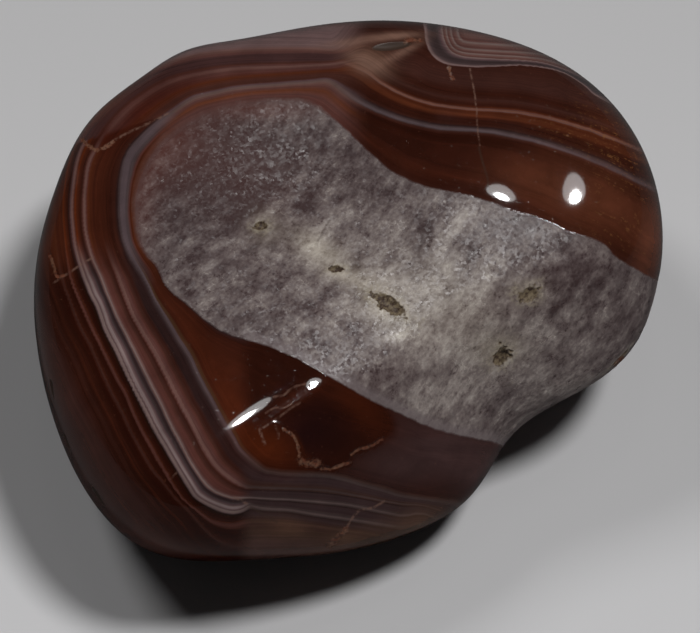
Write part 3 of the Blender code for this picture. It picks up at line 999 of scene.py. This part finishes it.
# The quartz heart: coarse grains, milky in the middle, drawn out across the seam where they met.
GRAIN_LEAN = math.radians(52.0)


def drawn_out(tree, place, stretch):
    """The place with the way the grains lean drawn out, so that a pattern on it is that much longer."""
    sockets = {"Vector": place, "Rotation": (0.0, 0.0, GRAIN_LEAN), "Scale": (stretch, 1.0, 1.0)}
    return add_node(tree, "ShaderNodeMapping", sockets, vector_type="TEXTURE").outputs[0]


streaky_place = drawn_out(tree, place, 1.35)
long_place = drawn_out(tree, place, 4.5)
mottle = noise_value(tree, streaky_place, 1.0, 6.0, 0.66)
blotch = noise_value(tree, place, 0.42, 3.0, 0.5)
streak = noise_value(tree, long_place, 0.8, 3.0, 0.6)
grain = add_node(tree, "ShaderNodeSeparateColor", {0: cell_colour(tree, streaky_place, 1.5)}).outputs[0]
ridge = calculate(tree, "ABSOLUTE", calculate(tree, "SUBTRACT", noise_value(tree, place, 1.1, 2.0, 0.5), 0.5))
thread = calculate(tree, "MULTIPLY", rescale(tree, ridge, 0.012, 0.0), rescale(tree, blotch, 0.5, 0.62))
sugar = noise_value(tree, streaky_place, 3.4, 3.0, 0.7)
BASE_TONE = 0.33
# Each pattern, the part of its range that counts, and how far it moves the tone either way.
QUARTZ_PATTERNS = [
    (mottle, 0.25, 0.75, 0.30), (streak, 0.3, 0.7, 0.16), (blotch, 0.3, 0.7, 0.10), (grain, 0.0, 1.0, 0.07),
    (sugar, 0.3, 0.7, 0.15),
]
# The quartz spots bring painted glints into this tone.
tone = calculate(tree, "ADD", attribute(tree, "quartz_tone_and_glint"), BASE_TONE)
for pattern, low, high, swing in QUARTZ_PATTERNS:
    tone = calculate(tree, "ADD", tone, rescale(tree, pattern, low, high, -swing, swing))
tone = calculate(tree, "MULTIPLY_ADD", thread, 0.35, tone)
dark_grain = calculate(tree, "MULTIPLY", rescale(tree, sugar, 0.42, 0.34), rescale(tree, mottle, 0.5, 0.4))
tone = calculate(tree, "MULTIPLY_ADD", dark_grain, -0.30, tone)
QUARTZ = [
    (0.0, "clear quartz"), (0.3, "grey quartz"), (0.55, "mid quartz"), (0.85, "milky quartz"),
    (1.4, "white quartz"),
]
quartz = ramp(tree, tone, QUARTZ)
quartz = tint(tree, quartz, "blush", "blush", 0.55)
quartz = tint(tree, quartz, "cream", "cream", 0.35)
heart_depth = attribute(tree, "heart_depth")
edge_depth = calculate(tree, "MULTIPLY_ADD", calculate(tree, "SUBTRACT", mottle, 0.5), 0.30, heart_depth)
edge_width = calculate(tree, "MULTIPLY_ADD", attribute(tree, "blush"), 0.9, 0.13)
in_heart = rescale(tree, calculate(tree, "DIVIDE", edge_depth, edge_width), -0.7, 0.7)
edge_of_heart = calculate(tree, "MULTIPLY", rescale(tree, heart_depth, 0.45, 0.05), 0.45)
quartz = mix_colours(tree, edge_of_heart, quartz, colour("grey quartz"))
lower_edge = calculate(tree, "MULTIPLY", rescale(tree, edge_depth, 1.0, 0.5), attribute(tree, "foot_share"))
quartz = mix_colours(tree, calculate(tree, "MULTIPLY", lower_edge, 0.65), quartz, colour("edge quartz"))
rim_noise = rescale(tree, noise_value(tree, place, 2.5, 3.0, 0.6), 0.4, 0.6)
pore_rim = calculate(tree, "MULTIPLY", attribute(tree, "pore_rim"), rim_noise)
quartz = mix_colours(tree, calculate(tree, "MULTIPLY", pore_rim, 0.35), quartz, colour("cream"))
pore = attribute(tree, "pore")
pore_colour = mix_colours(tree, rescale(tree, sugar, 0.4, 0.6), colour("pit"), colour("olive"))
quartz = mix_colours(tree, pore, quartz, pore_colour)
chalcedony = mix_colours(tree, pore, chalcedony, colour("pit"))
surface = mix_colours(tree, in_heart, chalcedony, quartz)

# Marks and crusts lie over both.
mark_noise = rescale(tree, speck_noise, 0.42, 0.56, 0.1, 1.0)
pale_mark = calculate(tree, "MULTIPLY", rescale(tree, attribute(tree, "pale_mark"), 0.0, 0.7), mark_noise)
surface = mix_colours(tree, calculate(tree, "MULTIPLY", pale_mark, 0.65), surface, colour("pale mark"))
dark_mark = rescale(tree, attribute(tree, "dark_mark"), 0.0, 0.8)
surface = mix_colours(tree, calculate(tree, "MULTIPLY", dark_mark, 0.45), surface, colour("pit"))
crust_edge = calculate(tree, "ADD", attribute(tree, "crust"), rescale(tree, speck_noise, 0.3, 0.7, -0.5, 0.3))
crust_mask = rescale(tree, crust_edge, 0.2, 0.75)
crust_kind = noise_value(tree, place, 1.6, 3.0, 0.6)
crust_kind = rescale(tree, crust_kind, 0.42, 0.55)
crust_colour = mix_colours(tree, crust_kind, colour("orange crust"), colour("crust"))
crust_pits = rescale(tree, noise_value(tree, place, 4.0, 2.0, 0.6), 0.52, 0.62)
crust_colour = mix_colours(tree, crust_pits, crust_colour, colour("dark crust"))
surface = mix_colours(tree, crust_mask, surface, crust_colour)
tree.links.new(surface, shader.inputs["Base Color"])

# The chalcedony takes a mirror polish, less so on the chip's broken rim. Quartz and crusts stay dull.
POLISHED = 0.04
BROKEN = 0.12
ROUGH = 0.6
rough_quartz = rescale(tree, mottle, 0.3, 0.7, 0.22, 0.5)
roughness = mix_values(tree, attribute(tree, "broken"), POLISHED, BROKEN)
roughness = mix_values(tree, in_heart, roughness, rough_quartz)
dull = calculate(tree, "MAXIMUM", crust_mask, pore)
roughness = mix_values(tree, dull, roughness, ROUGH)
tree.links.new(roughness, shader.inputs["Roughness"])

# Grains of the quartz end in small facets, tilted every way, that glint in the lamps.
FACETS_PER_MM = 4.5
FACET_TILT = 0.22
RELIEF_STRENGTH = 0.4
RELIEF_HEIGHT = 0.0001
REFRACTION_OF_QUARTZ = 1.54
facet = combine_vectors(tree, "SUBTRACT", cell_colour(tree, place, FACETS_PER_MM), (0.5, 0.5, 0.5))
facet = scale_vector(tree, facet, calculate(tree, "MULTIPLY", in_heart, FACET_TILT))
normal = add_node(tree, "ShaderNodeNewGeometry").outputs["Normal"]
normal = combine_vectors(tree, "NORMALIZE", combine_vectors(tree, "ADD", normal, facet))
relief = calculate(tree, "MULTIPLY", mottle, in_heart)
relief = calculate(tree, "MULTIPLY_ADD", speck_noise, crust_mask, relief)
bump_sockets = {"Height": relief, "Strength": RELIEF_STRENGTH, "Distance": RELIEF_HEIGHT, "Normal": normal}
bump = add_node(tree, "ShaderNodeBump", bump_sockets)
tree.links.new(bump.outputs[0], shader.inputs["Normal"])
shader.inputs["IOR"].default_value = REFRACTION_OF_QUARTZ
pebble.data.materials.clear()
pebble.data.materials.append(agate)

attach(pebble, "root")
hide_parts("agate")


# The floor is a sheet of pale board, far wider than the picture. Its colour is painted a little lighter
# towards the viewer: painted light.
FLOOR_WIDTH = 1.6
BOARD_FAR = (0.595, 0.590, 0.595, 1.0)
BOARD_NEAR = (0.760, 0.755, 0.765, 1.0)
BOARD_SHADING_FROM = 0.050
BOARD_SHADING_TO = -0.050
# The photograph shows hardly any of the board in the stone's polish, so it is mirrored only dimly.
MIRRORED_SHARE = 0.10

bpy.ops.object.select_all(action="DESELECT")
bpy.ops.mesh.primitive_plane_add(size=FLOOR_WIDTH, location=(0.0, 0.0, 0.0))
floor = bpy.context.active_object
floor.name = "floor"
board = bpy.data.materials.new("pale_board")
board.use_nodes = True
board_tree = board.node_tree
board_place = add_node(board_tree, "ShaderNodeTexCoord").outputs["Object"]
board_y = add_node(board_tree, "ShaderNodeSeparateXYZ", {0: board_place}).outputs[1]
board_share = rescale(board_tree, board_y, BOARD_SHADING_FROM, BOARD_SHADING_TO)
board_colour = mix_colours(board_tree, board_share, BOARD_FAR, BOARD_NEAR)
mirrored = add_node(board_tree, "ShaderNodeLightPath").outputs["Is Glossy Ray"]
board_light = rescale(board_tree, mirrored, 0.0, 1.0, 1.0, MIRRORED_SHARE)
board_colour = scale_vector(board_tree, board_colour, board_light)
board_shader = board_tree.nodes["Principled BSDF"]
board_tree.links.new(board_colour, board_shader.inputs["Base Color"])
board_shader.inputs["Roughness"].default_value = 0.8
floor.data.materials.append(board)


# A strong lamp stands to the right and a weak, wide one behind on the left. They light everything and
# throw the shadows, but are hidden from the polish. Two small bulbs in dim round shades are seen only in
# the polish and light nothing. The room around them is dark.
# Each lamp: the direction it stands in, its width in degrees, its strength and whether the polish shows it.
LAMPS = {
    "strong_lamp": ((0.330, -0.066, 0.943), 11.0, 5.45, False),
    "weak_lamp": ((-0.427, 0.299, 0.854), 18.0, 2.05, False),
    "right_bulb": ((0.280, 0.140, 0.951), 3.0, 1.6, True),
    "right_shade": ((0.276, 0.166, 0.948), 6.4, 0.16, True),
    "top_bulb": ((0.012, 0.100, 0.990), 3.0, 1.2, True),
    "top_shade": ((0.014, 0.122, 0.986), 6.4, 0.16, True),
}
LAMP_DISTANCE = 3.0
ROOM_LIGHT = 0.015

for lamp_name, (direction, width_in_degrees, irradiance, shows_in_polish) in LAMPS.items():
    light = bpy.data.lights.new(lamp_name, "AREA")
    light.shape = "DISK"
    light.size = 2.0 * LAMP_DISTANCE * math.tan(math.radians(width_in_degrees / 2.0))
    light.energy = irradiance * LAMP_DISTANCE**2
    lamp = bpy.data.objects.new(lamp_name, light)
    bpy.context.scene.collection.objects.link(lamp)
    towards = Vector(direction).normalized()
    lamp.location = towards * LAMP_DISTANCE
    lamp.rotation_mode = "QUATERNION"
    lamp.rotation_quaternion = towards.to_track_quat("Z", "Y")
    lamp.visible_glossy = shows_in_polish
    lamp.visible_diffuse = not shows_in_polish

room = bpy.data.worlds.new("dark_room")
room.use_nodes = True
room.node_tree.nodes["Background"].inputs["Color"].default_value = (1.0, 1.0, 1.0, 1.0)
room.node_tree.nodes["Background"].inputs["Strength"].default_value = ROOM_LIGHT
bpy.context.scene.world = room
bpy.context.scene.view_settings.view_transform = "Standard"


# The camera stands 55 degrees above the ground and looks square onto the face.
SENSOR_WIDTH = 36.0
camera_data = bpy.data.cameras.new("camera")
camera_data.sensor_width = SENSOR_WIDTH
camera_data.lens = SENSOR_WIDTH * VIEWING_DISTANCE / (PICTURE_SIZE[0] * MM_PER_PIXEL)
camera_data.clip_start = 0.01
camera = bpy.data.objects.new("camera", camera_data)
bpy.context.scene.collection.objects.link(camera)
aim = (np.array(PICTURE_SIZE) / 2.0 - MIDDLE_PIXEL) * MM_PER_PIXEL
eye_point = np.array((aim[0], -aim[1], VIEWING_DISTANCE)) @ FACE_TO_WORLD.T + middle
camera.location = Vector(eye_point) * MM
camera.rotation_euler = (LEAN, 0.0, 0.0)
bpy.context.scene.camera = camera
